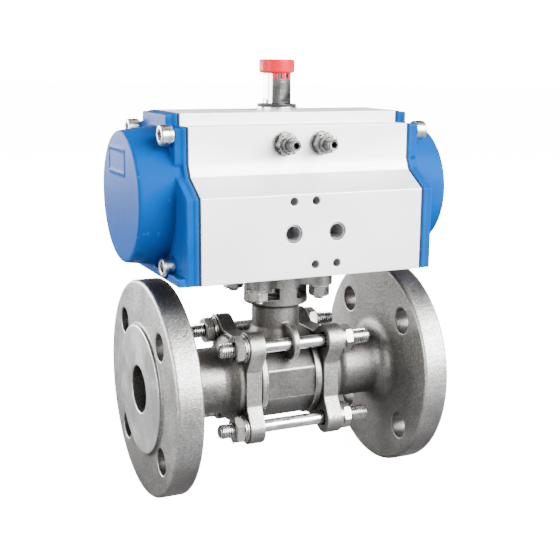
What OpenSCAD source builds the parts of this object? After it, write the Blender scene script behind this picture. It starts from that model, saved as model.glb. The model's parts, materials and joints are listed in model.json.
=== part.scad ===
// Three-piece flanged ball valve, DN25 PN16, turned by a double-acting rack-and-pinion
// pneumatic actuator. Millimetres. The origin is where the pipe axis (X) crosses the
// stem axis (Z), at the centre of the ball. The valve is drawn open, -Y is the air port side.

/* [Pipe flanges] */
// Distance between the two gasket faces
face_to_face = 156.5; // [150:0.5:165]
// Outside diameter of a flange
flange_d = 115; // [112:1:118]
// Bolt circle of a flange
flange_pcd = 85; // [82:1:88]
// Diameter of a flange bolt hole
flange_hole_d = 14; // [12:1:15]
// Thickness of a flange behind its raised face
flange_t = 14; // [12:1:15]
// Diameter of the raised gasket face
raised_d = 68; // [64:1:70]
// Height of the raised gasket face
raised_h = 2; // [1:0.5:3]

/* [Valve] */
// Bore of the pipe, the seats and the ball
bore_d = 25; // [22:1:25]
// Outside diameter of the pipe stubs
pipe_d = 35.4; // [34:0.2:38]
// Diameter of the ball
ball_d = 37; // [36.6:0.1:37]
// Length of the centre body between its two seals
body_length = 35; // [35:0.5:36]
// Distance between neighbouring tie bolts
tie_spacing = 44; // [44:0.5:46]
// Nominal thread of the tie bolts
tie_d = 8; // [8:0.5:8]
// Overall length of a tie bolt
tie_length = 87; // [86:1:92]
// Diameter of the stem in its packing
stem_d = 14; // [14:0.1:14.1]

/* [Actuator] */
// Length of the extruded cylinder body
cylinder_length = 121; // [119:1:125]
// Bore of the two pistons
piston_d = 60; // [59.5:0.1:60]
// Depth of the body over its lower part
base_width = 97.8; // [94:0.2:100]
// Depth of the body over its upper part
upper_width = 64.4; // [64:0.2:66]
// Depth of the top ridge
ridge_width = 39.6; // [38:0.2:42]
// Length of an end cap's round dome beyond its plate
dome_length = 18.2; // [16:0.1:20]
// Distance between the two stop screws
stop_spacing = 20.5; // [20.5:0.1:20.7]

/* [Rack and pinion] */
// Tooth module
tooth_module = 1.5; // [1.5:0.1:1.5]
// Number of pinion teeth
pinion_teeth = 14; // [14:1:14]

/* [Hidden] */
$fn = 96;

// Colours
casting = [0.62, 0.60, 0.57];
machined = [0.78, 0.78, 0.77];
bright = [0.88, 0.88, 0.87];
anodised = [0.90, 0.90, 0.91];
blue = [0.05, 0.36, 0.80];
red = [0.86, 0.20, 0.24];
ptfe = [0.95, 0.95, 0.93];
rubber = [0.08, 0.08, 0.09];
acetal = [0.13, 0.13, 0.14];

// Small working gaps
fit_gap = 0.05;
slide_gap = 0.08;

// Valve, along X
bore_r = bore_d / 2;
ball_r = ball_d / 2;
cavity_r = 19;
body_half = body_length / 2;
seal_t = 0.8;
joint_x = body_half + seal_t;
lobe_t = 8.8;
lobe_end_x = joint_x + lobe_t;
face_x = face_to_face / 2;
raised_x = face_x - raised_h;
flange_back_x = raised_x - flange_t;
pipe_r = pipe_d / 2;
root_fillet = 8;
edge = 1;

// Lobed end plates and tie bolts
waist_half = 24.5;
waist_flat = 9.8;
lobe_r = 8.5;
tie_half = tie_spacing / 2;
tie_hole_r = tie_d / 2 + 0.3;
tie_shank_r = 3.4;
tie_shift = 1.8;
tie_washer_t = 2;
tie_nut_t = 4.9;
tie_nut_af = 13;
tie_places = [for (y = [-1, 1], z = [-1, 1]) [y * tie_half, z * tie_half]];

// Neck, packing box and actuator pad, along Z
stem_r = stem_d / 2;
neck_r = 13;
collar_r = 17.4;
collar_low_z = 41.3;
collar_cone_h = 1.6;
window_low_z = 45;
window_top_z = 51;
cavity_floor_z = 43;
collar_inner_r = 13.4;
pad_z = 63.25;
spigot_h = 2;
ear_r = 7;
ear_loop_r = 9.6;
ear_low_z = 52.4;
mount_pcd = 50;
mount_r = mount_pcd / 2;
stud_r = 3;
stem_collar_low_z = 19.4;
stem_collar_top_z = 23.4;
thrust_top_z = 25;
packing_low_z = 30;
packing_top_z = 39;
packing_r = 10;
stem_nut_low_z = 46.2;
stem_nut_top_z = 53;
square_af = 11;
square_top_z = 74.5;
tang_w = 5.9;
slot_w = 6.2;
slot_floor_z = 13.4;

// Actuator sections, in the YZ plane
half_length = cylinder_length / 2;
bottom_z = pad_z;
shoulder_low_z = 105.3;
shoulder_high_z = 119.7;
fold_z = 113.6;
ledge_z = 137.6;
top_z = 143.5;
base_half = base_width / 2;
upper_half = upper_width / 2;
fold_half = upper_half + 2.9;
ridge_half = ridge_width / 2;
piston_z = 101.5;
piston_r = piston_d / 2;
port_z = 85.7;
port_x = 12;
port_r = 4.6;
port_depth = 12;
namur_rise = 16;
small_hole_r = 2.1;
channel_y = -40;
channel_r = 2;
cap_screw_y = 27;
cap_screw_dz = 32;
cap_screw_places = [for (y = [-1, 1], z = [-1, 1]) [y * cap_screw_y, piston_z + z * cap_screw_dz]];
gasket_t = 0.8;
cap_x = half_length + gasket_t;
plate_t = 6;
rim_t = 2;
rim_w = 0.6;
plate_x = cap_x + plate_t;
dome_x = plate_x + dome_length;
dome_base_r = 35.2;
dome_end_r = 33.2;
dome_edge_r = 1.8;
dome_wall = 4;
lip_reach = 4.3;
lip_half = 17;

// Pinion stack, along Z
pinion_low_z = 64.5;
journal_r = 11;
teeth_low_z = 86;
teeth_top_z = 117;
cam_low_z = 125;
cam_top_z = 130.2;
cam_af = 15.8;
cam_seat_r = 9.6;
cam_reach = 11;
shaft_r = 7.3;
shaft_flat = 6.5;
shaft_flat_z = 149;
shaft_top_z = 162.6;
pocket_r = 18.5;
pocket_top_z = 133;
stop_z = 128.6;
stop_tip_y = -11.05;
stop_end_y = -47;
lower_hole_r = 12.6;
upper_hole_r = 9.25;
ring_groove_low_z = 145.5;
ring_groove_r = 6.6;

// Rack teeth
pitch_r = tooth_module * pinion_teeth / 2;
tooth_pitch = PI * tooth_module;
pressure = 20;
backlash = 0.08;
rack_addendum = 0.8 * tooth_module;
rack_root = pitch_r + 1.25 * tooth_module;
rack_back = 23;
rack_half_h = 13;
disc_out_x = 60;
disc_in_x = 48;
rack_tip_x = 8;

// Outline helpers
function arc(c, r, a0, a1, n = 8) =
    [for (i = [0:n]) let (a = a0 + (a1 - a0) * i / n) c + r * [cos(a), sin(a)]];
function tangent_point(a, c, r) =
    let (d = c - a, len = norm(d), turn = atan2(d[1], d[0]) - asin(r / len))
    a + sqrt(len * len - r * r) * [cos(turn), sin(turn)];
function involute(angle) = tan(angle) * 180 / PI - angle;

// Local Z becomes X, local XY becomes YZ
module x_axis() rotate([90, 0, 90]) children();
module other_end() mirror([1, 0, 0]) children();
module at_corners(places) for (p = places) translate([p[0], p[1], 0]) children();
module on_diagonals() for (a = [45:90:315]) rotate([0, 0, a]) children();

module tube(outer, inner, height) {
    difference() {
        cylinder(r = outer, h = height);
        translate([0, 0, -1]) cylinder(r = inner, h = height + 2);
    }
}

module torus(ring_r, section_r) {
    rotate_extrude() translate([ring_r, 0]) circle(r = section_r, $fn = 24);
}

// Hexagonal nut standing on XY, with both ends chamfered
module hex_nut(af, height, hole_r) {
    corner_r = af / sqrt(3);
    chamfer = corner_r - af / 2;
    difference() {
        intersection() {
            cylinder(r = corner_r, h = height, $fn = 6);
            cylinder(r1 = af / 2, r2 = af / 2 + height, h = height);
            cylinder(r1 = af / 2 + height, r2 = af / 2, h = height);
            cylinder(r = corner_r - chamfer / 6, h = height);
        }
        translate([0, 0, -1]) cylinder(r = hole_r, h = height + 2);
    }
}

// Socket head cap screw: the head's seat is at z = 0, the shank points to -Z
module socket_screw(r, head_r, head_h, shank, socket_af) {
    difference() {
        union() {
            cylinder(r = head_r, h = head_h - 0.5);
            translate([0, 0, head_h - 0.5]) cylinder(r1 = head_r, r2 = head_r - 0.5, h = 0.5);
            translate([0, 0, -shank]) cylinder(r = r, h = shank + 0.1);
        }
        translate([0, 0, head_h / 2]) cylinder(r = socket_af / sqrt(3), h = head_h, $fn = 6);
    }
}

// One quarter of the end plate, with its bolt lobe
module lobe_quarter() {
    corner = [waist_half, waist_flat];
    centre = [tie_half, tie_half];
    touch = tangent_point(corner, centre, lobe_r);
    polygon([
        [0, 0], [waist_half, 0], corner, touch, centre,
        [touch[1], touch[0]], [corner[1], corner[0]], [0, waist_half]
    ]);
    translate(centre) circle(r = lobe_r);
}

module lobed_square() for (a = [0:90:270]) rotate(a) lobe_quarter();

// Right-hand flange with its raised gasket face
module flange() {
    outline = [
        [bore_r, flange_back_x], [flange_d / 2 - edge, flange_back_x],
        [flange_d / 2, flange_back_x + edge], [flange_d / 2, raised_x - edge],
        [flange_d / 2 - edge, raised_x], [raised_d / 2 + 0.4, raised_x],
        [raised_d / 2, face_x], [bore_r, face_x]
    ];
    difference() {
        x_axis() rotate_extrude() polygon(outline);
        x_axis() on_diagonals() translate([flange_pcd / 2, 0, flange_back_x - 1])
            cylinder(d = flange_hole_d, h = flange_t + raised_h + 2);
    }
}

module flange_right() { color(casting) flange(); }
module flange_left() { color(casting) other_end() flange(); }

// Right-hand end piece: lobed bolting plate and pipe, of one casting with the flange
module end_piece() {
    outline = concat(
        [[bore_r, joint_x], [23.6, joint_x], [23.6, lobe_end_x], [23.1, lobe_end_x + 2.2],
            [20.8, lobe_end_x + 4.4], [18.6, lobe_end_x + 6.4], [pipe_r, 36]],
        arc([pipe_r + root_fillet, flange_back_x - root_fillet], root_fillet, 180, 90),
        [[bore_r, flange_back_x]]
    );
    difference() {
        x_axis() {
            rotate_extrude() polygon(outline);
            translate([0, 0, joint_x]) linear_extrude(lobe_t) lobed_square();
        }
        x_axis() translate([0, 0, joint_x - 1]) {
            cylinder(r = bore_r, h = lobe_t + 2);
            at_corners(tie_places) cylinder(r = tie_hole_r, h = lobe_t + 12);
        }
    }
}

module end_piece_right() { color(casting) end_piece(); }
module end_piece_left() { color(casting) other_end() end_piece(); }

// Ear on the centre body that steadies an upper tie bolt
module body_ear() {
    x_axis() translate([0, 0, -1.6]) linear_extrude(3.2) {
        translate([19.8, 22.2]) circle(r = ear_loop_r);
        polygon([[19.8, 22.2 - ear_loop_r], [12, 14], [4, 21], [8, 30], [16.5, 31.3]]);
    }
}

// Ears, collar and spigot that carry the actuator
module actuator_pad() {
    translate([0, 0, collar_low_z - collar_cone_h])
        cylinder(r1 = neck_r, r2 = collar_r, h = collar_cone_h);
    translate([0, 0, collar_low_z]) cylinder(r = collar_r, h = pad_z + spigot_h - collar_low_z);
    on_diagonals() translate([0, 0, ear_low_z]) {
        translate([0, -ear_r, 0]) cube([mount_r, 2 * ear_r, pad_z - ear_low_z]);
        translate([mount_r, 0, 0]) cylinder(r = ear_r, h = pad_z - ear_low_z);
    }
}

module valve_body() {
    flat = 7.8;
    apothem = 22;
    ring_x = 13.9;
    eight_sides = [
        for (a = [0:90:270], p = [[apothem, -flat], [apothem, flat]])
            [p[0] * cos(a) - p[1] * sin(a), p[0] * sin(a) + p[1] * cos(a)]
    ];
    color(casting) difference() {
        union() {
            x_axis() translate([0, 0, -body_half]) linear_extrude(body_length)
                polygon(eight_sides);
            for (x = [-body_half, ring_x]) x_axis() translate([0, 0, x])
                cylinder(r = 24, h = body_half - ring_x);
            body_ear();
            mirror([0, 1, 0]) body_ear();
            translate([0, 0, 19]) cylinder(r1 = 17.5, r2 = neck_r, h = 9);
            translate([0, 0, 14]) cylinder(r = neck_r, h = collar_low_z - 14);
            actuator_pad();
        }
        x_axis() translate([0, 0, -body_half - 1]) {
            cylinder(r = cavity_r, h = body_length + 2);
            at_corners([[-tie_half, tie_half], [tie_half, tie_half]])
                cylinder(r = tie_hole_r, h = body_length + 2);
        }
        cylinder(r = stem_r + fit_gap, h = pad_z);
        cylinder(r = 9.3, h = thrust_top_z);
        translate([0, 0, packing_low_z]) cylinder(r = packing_r, h = 20);
        translate([0, 0, cavity_floor_z]) cylinder(r = collar_inner_r, h = 30);
        on_diagonals() {
            translate([10, -8, window_low_z]) cube([10, 16, window_top_z - window_low_z]);
            translate([mount_r, 0, ear_low_z - 1]) cylinder(r = stud_r + 0.3, h = 20);
        }
    }
}

// Ring that the ball turns against, hollowed to the ball's radius
module seat() {
    reach = ball_r + 0.1;
    low_a = asin((bore_r + 0.1) / reach);
    high_a = 61;
    color(ptfe) x_axis() rotate_extrude() polygon(concat(
        [[bore_r + 0.1, joint_x], [cavity_r - fit_gap, joint_x],
            [cavity_r - fit_gap, reach * cos(high_a)]],
        [for (i = [8:-1:0]) let (a = low_a + (high_a - low_a) * i / 8) reach * [sin(a), cos(a)]]
    ));
}

module seat_right() seat();
module seat_left() other_end() seat();

module body_seal() {
    color(acetal) x_axis() translate([0, 0, body_half]) tube(23.2, cavity_r + 0.6, seal_t);
}

module body_seal_right() body_seal();
module body_seal_left() other_end() body_seal();

module ball() {
    color(bright) difference() {
        sphere(r = ball_r);
        x_axis() translate([0, 0, -ball_r]) cylinder(r = bore_r, h = ball_d);
        translate([-slot_w / 2, -ball_r, slot_floor_z]) cube([slot_w, ball_d, ball_r]);
    }
}

module stem() {
    color(machined) {
        intersection() {
            translate([-tang_w / 2, -7, slot_floor_z + 0.4]) cube([tang_w, 14, 6.2]);
            cylinder(r = 9, h = 30);
        }
        translate([0, 0, stem_collar_low_z]) cylinder(r = 9, h = stem_collar_top_z - stem_collar_low_z);
        translate([0, 0, stem_collar_top_z]) cylinder(r = stem_r, h = stem_nut_top_z + 0.4 - stem_collar_top_z);
        intersection() {
            translate([-square_af / 2, -square_af / 2, stem_nut_top_z])
                cube([square_af, square_af, square_top_z - stem_nut_top_z]);
            translate([0, 0, stem_nut_top_z]) cylinder(r = stem_r, h = 30);
            cylinder(r1 = square_top_z + 6, r2 = 6, h = square_top_z);
        }
    }
}

module stem_thrust_washer() {
    color(ptfe) translate([0, 0, stem_collar_top_z]) tube(9.2, stem_r + 0.1, thrust_top_z - stem_collar_top_z);
}

module stem_packing() {
    ring_h = (packing_top_z - packing_low_z) / 3;
    color(ptfe) for (i = [0:2]) translate([0, 0, packing_low_z + i * ring_h])
        tube(packing_r - 0.02, stem_r + 0.03, ring_h - 0.1);
}

module gland_ring() {
    color(machined) translate([0, 0, packing_top_z]) {
        tube(packing_r - 0.1, stem_r + 0.15, cavity_floor_z - packing_top_z + 0.3);
        translate([0, 0, cavity_floor_z - packing_top_z]) tube(12.4, stem_r + 0.15, 0.6);
    }
}

// Two dished spring washers, rim to rim
module belleville_washers() {
    low_z = cavity_floor_z + 0.65;
    rise = 0.55;
    sheet_t = 0.7;
    section = [[stem_r + 0.2, 0], [12.2, rise], [12.2, rise + sheet_t], [stem_r + 0.2, sheet_t]];
    color(machined) {
        translate([0, 0, low_z]) rotate_extrude() polygon(section);
        translate([0, 0, stem_nut_low_z - 0.02]) mirror([0, 0, 1]) rotate_extrude() polygon(section);
    }
}

module stem_nut() {
    color(machined) translate([0, 0, stem_nut_low_z])
        hex_nut(21, stem_nut_top_z - stem_nut_low_z, stem_r + fit_gap);
}

module tie_bolts() {
    half = tie_length / 2;
    color(bright) translate([tie_shift, 0, 0]) x_axis() at_corners(tie_places) {
        translate([0, 0, -25]) cylinder(r = tie_shank_r, h = 50);
        for (side = [0, 1]) mirror([0, 0, side]) translate([0, 0, 24.6]) {
            cylinder(r = tie_d / 2 - 0.1, h = half - 25.4);
            translate([0, 0, half - 25.4])
                cylinder(r1 = tie_d / 2 - 0.1, r2 = tie_d / 2 - 0.9, h = 0.8);
        }
    }
}

module tie_washers() {
    color(machined) x_axis() at_corners(tie_places) for (side = [0, 1]) mirror([0, 0, side])
        translate([0, 0, lobe_end_x]) tube(7.3, tie_d / 2 + 0.15, tie_washer_t);
}

module tie_nuts() {
    color(machined) x_axis() at_corners(tie_places) for (side = [0, 1]) mirror([0, 0, side])
        translate([0, 0, lobe_end_x + tie_washer_t]) rotate(side == 1 ? 35 : 7)
            hex_nut(tie_nut_af, tie_nut_t, tie_d / 2 - 0.05);
}

module mounting_studs() {
    color(bright) on_diagonals() translate([mount_r, 0, ear_low_z - 7.8])
        cylinder(r = stud_r, h = 28.2);
}

module mounting_washers() {
    color(machined) on_diagonals() translate([mount_r, 0, ear_low_z - 1.2]) tube(5.6, stud_r + 0.1, 1.2);
}

module mounting_nuts() {
    color(machined) on_diagonals() translate([mount_r, 0, ear_low_z - 6])
        rotate(20) hex_nut(10, 4.8, stud_r + fit_gap);
}

// Cross-section shared by the cylinder body, the gaskets and the end cap plates
module body_section() {
    half = [
        [base_half, bottom_z], [base_half, shoulder_low_z], [fold_half, fold_z],
        [upper_half, shoulder_high_z],
        [upper_half, ledge_z], [ridge_half, ledge_z], [ridge_half, top_z]
    ];
    polygon(concat(half, [for (i = [len(half) - 1:-1:0]) [-half[i][0], half[i][1]]]));
}

module stop_places() for (x = [-0.5, 0.5]) translate([x * stop_spacing, 0, stop_z])
    rotate([90, 0, 0]) children();

module actuator_body() {
    color(anodised) difference() {
        x_axis() translate([0, 0, -half_length]) linear_extrude(cylinder_length) body_section();
        x_axis() translate([0, piston_z, -half_length - 1]) cylinder(r = piston_r, h = cylinder_length + 2);
        // Air passages to the two end chambers
        x_axis() translate([channel_y, port_z, -half_length - 1]) cylinder(r = channel_r, h = cylinder_length + 2);
        // Pinion holes, cam pocket and the recess for the valve's spigot
        translate([0, 0, bottom_z - 1]) cylinder(r = collar_r + 0.1, h = spigot_h + 1.2);
        translate([0, 0, bottom_z]) cylinder(r = lower_hole_r, h = 20);
        translate([0, 0, piston_z]) cylinder(r = upper_hole_r, h = 60);
        translate([0, 0, piston_z]) cylinder(r = pocket_r, h = pocket_top_z - piston_z);
        for (x = [-half_length - 1, half_length + 1]) mirror([x > 0 ? 1 : 0, 0, 0])
            x_axis() translate([0, 0, -half_length - 1]) at_corners(cap_screw_places)
                cylinder(r = stud_r + fit_gap, h = 20);
        on_diagonals() translate([mount_r, 0, bottom_z - 1]) cylinder(r = stud_r + fit_gap, h = 11);
        // Stop screw holes with their seal counterbores
        stop_places() {
            translate([0, 0, 10]) cylinder(r = stud_r + fit_gap, h = 30);
            translate([0, 0, upper_half - 1.8]) cylinder(r = 4.8, h = 5);
        }
        // Air ports: threaded mouths and drilled passages
        for (x = [-port_x, port_x]) translate([x, 0, port_z]) rotate([90, 0, 0])
            translate([0, 0, base_half - port_depth]) cylinder(r = port_r, h = port_depth + 1);
        translate([-port_x, 0, port_z]) rotate([90, 0, 0]) cylinder(r = channel_r, h = base_half - 2);
        // Solenoid valve and accessory screw holes
        for (p = [[-port_x, 1], [0, 1], [0, -1], [port_x, -1]])
            translate([p[0], 0, port_z + p[1] * namur_rise]) rotate([90, 0, 0])
                translate([0, 0, base_half - 10]) cylinder(r = small_hole_r, h = 12);
        for (x = [-40, 40], y = [-15, 15])
            translate([x, y, top_z - 8]) cylinder(r = small_hole_r, h = 10);
    }
}

module cap_gasket() {
    color(rubber) x_axis() translate([0, 0, half_length]) linear_extrude(gasket_t) difference() {
        body_section();
        translate([0, piston_z]) circle(r = piston_r + 0.5);
        at_corners(cap_screw_places) circle(r = stud_r + 0.3);
        translate([channel_y, port_z]) circle(r = channel_r + 0.3);
    }
}

module cap_gasket_right() cap_gasket();
module cap_gasket_left() other_end() cap_gasket();

// Outline of the thick part of a cap plate, inside its thin rim, notched below the upper block
module cap_section() {
    half = [
        [base_half - rim_w, bottom_z], [base_half - rim_w, shoulder_low_z - 0.3],
        [fold_half - 0.3, fold_z - 0.5], [upper_half - 2.6, fold_z + 2.6],
        [upper_half - rim_w, shoulder_high_z + 0.6], [upper_half - rim_w, ledge_z - rim_w],
        [ridge_half - rim_w, ledge_z - rim_w], [ridge_half - rim_w, top_z - rim_w]
    ];
    polygon(concat(half, [for (i = [len(half) - 1:-1:0]) [-half[i][0], half[i][1]]]));
}

// Right-hand end cap: plate, bottom lip, hollow dome and a plain raised frame.
// The lip covers three quarters of the width, from the side where lip_side points.
module end_cap(lip_side) {
    outside = concat(
        [[0, cap_x], [dome_base_r, cap_x], [dome_base_r, plate_x]],
        arc([dome_end_r - dome_edge_r, dome_x - dome_edge_r], dome_edge_r, 0, 90),
        [[0, dome_x]]
    );
    inside_r = dome_base_r - dome_wall - 1.7;
    inside = concat(
        [[0, cap_x - 1], [inside_r, cap_x - 1]],
        arc([inside_r - 4, dome_x - dome_wall - 4], 4, 0, 90, 4),
        [[0, dome_x - dome_wall]]
    );
    color(blue) difference() {
        union() {
            x_axis() translate([0, 0, cap_x]) linear_extrude(rim_t) body_section();
            x_axis() translate([0, 0, cap_x]) linear_extrude(plate_t) cap_section();
            x_axis() translate([0, piston_z, 0]) rotate_extrude() polygon(outside);
            x_axis() translate([0, 0, plate_x - 1]) linear_extrude(lip_reach + 1) polygon([
                [-lip_side * lip_half, bottom_z], [lip_side * (base_half - rim_w), bottom_z],
                [lip_side * (base_half - rim_w - 0.8), bottom_z + 4],
                [-lip_side * (lip_half - 0.8), bottom_z + 4]
            ]);
            x_axis() translate([4, 119.5, dome_x]) linear_extrude(0.4) difference() {
                square([28, 13], center = true);
                square([26, 11], center = true);
            }
        }
        x_axis() translate([0, piston_z, 0]) rotate_extrude() polygon(inside);
        x_axis() at_corners(cap_screw_places) cylinder(r = stud_r + 0.3, h = plate_x + 10);
        x_axis() translate([0, 0, plate_x]) at_corners(cap_screw_places) cylinder(r = 5.6, h = 20);
        // Groove that leads the air passage into the dome
        translate([cap_x - 1, channel_y - channel_r, port_z - channel_r]) cube([4, 16, 2 * channel_r]);
    }
}

module end_cap_right() end_cap(1);
module end_cap_left() other_end() end_cap(-1);

module cap_screws() {
    color(bright) x_axis() translate([0, 0, plate_x]) at_corners(cap_screw_places)
        socket_screw(stud_r, 5, 6, 24, 5);
}

module cap_screws_right() cap_screws();
module cap_screws_left() other_end() cap_screws();

// Rack in the XY plane, its teeth towards the pinion at y = 0
module rack_outline() {
    half_tooth = tooth_pitch / 4 - backlash / 2;
    tip = pitch_r - rack_addendum;
    half_tip = half_tooth - rack_addendum * tan(pressure);
    half_root = half_tooth + (rack_root - pitch_r) * tan(pressure);
    translate([-disc_in_x - 1, rack_root]) square([disc_in_x + 1 + rack_tip_x, rack_back - rack_root]);
    for (i = [-5:1]) translate([i * tooth_pitch, 0]) polygon([
        [-half_root, rack_root], [-half_tip, tip], [half_tip, tip], [half_root, rack_root],
        [half_root, rack_root + 0.5], [-half_root, rack_root + 0.5]
    ]);
}

// Left-hand piston: disc, seal grooves and the rack arm behind the pinion
module piston() {
    outside = piston_r - slide_gap;
    color(anodised) {
        difference() {
            x_axis() translate([0, piston_z, -disc_out_x]) cylinder(r = outside, h = disc_out_x - disc_in_x);
            x_axis() translate([0, piston_z, -disc_out_x]) {
                translate([0, 0, 1.5]) tube(piston_r + 1, 28.2, 3);
                translate([0, 0, 7.5]) tube(piston_r + 1, 27.4, 2.7);
                translate([0, 0, -1]) cylinder(r = 20, h = 5);
            }
        }
        translate([0, 0, piston_z - rack_half_h]) linear_extrude(2 * rack_half_h) rack_outline();
    }
}

module piston_seal() {
    color(rubber) x_axis() translate([0, piston_z, 8.85 - disc_out_x]) torus(28.69, 1.26);
}

module guide_ring() {
    color(ptfe) x_axis() translate([0, piston_z, 1.6 - disc_out_x]) tube(piston_r - fit_gap, 28.25, 2.8);
}

module rack_pad() {
    color(ptfe) intersection() {
        x_axis() translate([0, piston_z, -16]) cylinder(r = piston_r - 0.15, h = 22);
        translate([-16, rack_back, piston_z - 9]) cube([22, 10, 18]);
    }
}

module half_turn() rotate([0, 0, 180]) children();
module piston_left() piston();
module piston_right() half_turn() piston();
module piston_seal_left() piston_seal();
module piston_seal_right() half_turn() piston_seal();
module guide_ring_left() guide_ring();
module guide_ring_right() half_turn() guide_ring();
module rack_pad_left() rack_pad();
module rack_pad_right() half_turn() rack_pad();

// Involute teeth, a tooth centred on +X
module pinion_outline() {
    base_r = pitch_r * cos(pressure);
    tip_r = pitch_r + tooth_module;
    root_r = pitch_r - 1.2 * tooth_module;
    step = 360 / pinion_teeth;
    slack = backlash / 2 / pitch_r * 180 / PI;
    function half_angle(r) =
        step / 4 - slack + involute(pressure) - (r > base_r ? involute(acos(base_r / r)) : 0);
    radii = concat([root_r], [for (i = [0:5]) base_r + (tip_r - base_r) * i / 5]);
    polygon([
        for (t = [0:pinion_teeth - 1]) each concat(
            [for (r = radii) let (a = t * step - half_angle(r)) r * [cos(a), sin(a)]],
            [for (i = [len(radii) - 1:-1:0]) let (r = radii[i], a = t * step + half_angle(r))
                r * [cos(a), sin(a)]]
        )
    ]);
}

module pinion() {
    journal_groove_r = 10.75;
    color(machined) difference() {
        union() {
            translate([0, 0, pinion_low_z]) cylinder(r = journal_r, h = teeth_low_z - pinion_low_z);
            translate([0, 0, teeth_low_z]) linear_extrude(teeth_top_z - teeth_low_z) pinion_outline();
            translate([0, 0, teeth_top_z]) cylinder(r = 10.5, h = cam_low_z - teeth_top_z);
            intersection() {
                translate([-cam_af / 2, -cam_af / 2, cam_low_z]) cube([cam_af, cam_af, cam_top_z - cam_low_z]);
                translate([0, 0, cam_low_z]) cylinder(r = cam_seat_r, h = 10);
            }
            translate([0, 0, cam_top_z]) cylinder(r = shaft_r, h = shaft_top_z - cam_top_z);
        }
        // Square socket for the valve stem
        translate([-square_af / 2 - 0.1, -square_af / 2 - 0.1, pinion_low_z - 1])
            cube([square_af + 0.2, square_af + 0.2, 14.5]);
        translate([0, 0, 69.5]) tube(journal_r + 1, journal_groove_r, 2);
        translate([0, 0, 134.2]) tube(shaft_r + 1, ring_groove_r, 2.6);
        translate([0, 0, ring_groove_low_z]) tube(shaft_r + 1, ring_groove_r, 1.4);
        for (side = [0, 1]) mirror([side, 0, 0])
            translate([shaft_flat, -10, shaft_flat_z]) cube([5, 20, 20]);
        translate([0, 0, shaft_top_z - 12]) cylinder(r = 2.5 + fit_gap, h = 13);
    }
}

module pinion_seal_lower() { color(rubber) translate([0, 0, 70.5]) torus(11.65, 0.88); }
module pinion_seal_upper() { color(rubber) translate([0, 0, 135.5]) torus(7.93, 1.2); }

module pinion_bush_lower() {
    color(acetal) translate([0, 0, bottom_z + 2.5]) tube(lower_hole_r - 0.02, journal_r + fit_gap, 3.6);
}

module pinion_bush_upper() {
    color(acetal) translate([0, 0, 137]) tube(upper_hole_r - 0.02, shaft_r + fit_gap, 6.2);
}

// Collar with two square shoulders that meet the stop screws at the ends of the turn
module stop_cam() {
    color(machined) translate([0, 0, cam_low_z]) difference() {
        union() {
            cylinder(r = cam_reach, h = cam_top_z - cam_low_z);
            for (a = [0, 180]) rotate(a) cube([cam_reach, cam_reach, cam_top_z - cam_low_z]);
        }
        intersection() {
            translate([-cam_af / 2 - 0.05, -cam_af / 2 - 0.05, -1]) cube([cam_af + 0.1, cam_af + 0.1, 10]);
            translate([0, 0, -1]) cylinder(r = cam_seat_r + fit_gap, h = 10);
        }
    }
}

module thrust_ring() { color(acetal) translate([0, 0, cam_top_z + 0.2]) tube(13, shaft_r + 0.15, 2.4); }
module shaft_washer() { color(bright) translate([0, 0, top_z]) tube(10.65, shaft_r + 0.1, 2); }

module snap_ring() {
    color(rubber) translate([0, 0, ring_groove_low_z + 0.1]) difference() {
        tube(10.2, ring_groove_r + 0.1, 1.2);
        translate([0, -2, -1]) cube([12, 4, 4]);
    }
}

// Set screw that limits the turn
module stop_screw(side) {
    color(machined) translate([side * stop_spacing / 2, 0, stop_z]) rotate([90, 0, 0]) difference() {
        union() {
            translate([0, 0, -stop_tip_y]) cylinder(r = stud_r, h = stop_tip_y - stop_end_y - 0.6);
            translate([0, 0, -stop_end_y - 0.6]) cylinder(r1 = stud_r, r2 = stud_r - 0.6, h = 0.6);
        }
        translate([0, 0, -stop_end_y - 4]) cylinder(r = 3 / sqrt(3), h = 6, $fn = 6);
    }
}

module stop_screw_left() stop_screw(-1);
module stop_screw_right() stop_screw(1);

module stop_washers() {
    color(machined) stop_places() translate([0, 0, upper_half]) tube(6.2, stud_r + 0.1, 1.3);
}

module stop_nuts() {
    color(machined) stop_places() translate([0, 0, upper_half + 1.3]) rotate(8)
        union() {
            hex_nut(10, 5.2, stud_r + fit_gap);
            translate([0, 0, 5]) tube(4.1, stud_r + fit_gap, 2.4);
        }
}

module stop_seals() {
    color(rubber) stop_places() translate([0, 0, upper_half - 0.85]) torus(3.95, 0.8);
}

module indicator_cap() {
    cap_h = 6.9;
    cap_r = 9.3;
    color(red) translate([0, 0, shaft_top_z]) difference() {
        union() {
            rotate_extrude() polygon(concat(
                [[0, 0], [cap_r - 0.8, 0], [cap_r, 0.8]],
                arc([cap_r - 1.2, cap_h - 1.2], 1.2, 0, 90, 4),
                [[0, cap_h]]
            ));
            // Snap fingers that grip the top of the shaft
            for (a = [-90, -62, -118, 90, 62, 118]) rotate(a)
                translate([shaft_r + 0.1, -0.9, -3]) cube([0.9, 1.8, 3.5]);
        }
        translate([0, 0, -1]) cylinder(r = 2.7, h = 10);
        translate([0, 0, cap_h - 3]) cylinder(r = 5.2, h = 4);
        for (side = [0, 1]) mirror([side, 0, 0]) translate([5.8, -0.9, cap_h - 0.8]) cube([5, 1.8, 2]);
    }
}

module indicator_screw() {
    color(bright) translate([0, 0, shaft_top_z + 3.9]) socket_screw(2.5, 4.7, 2.6, 14, 3);
}

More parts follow.
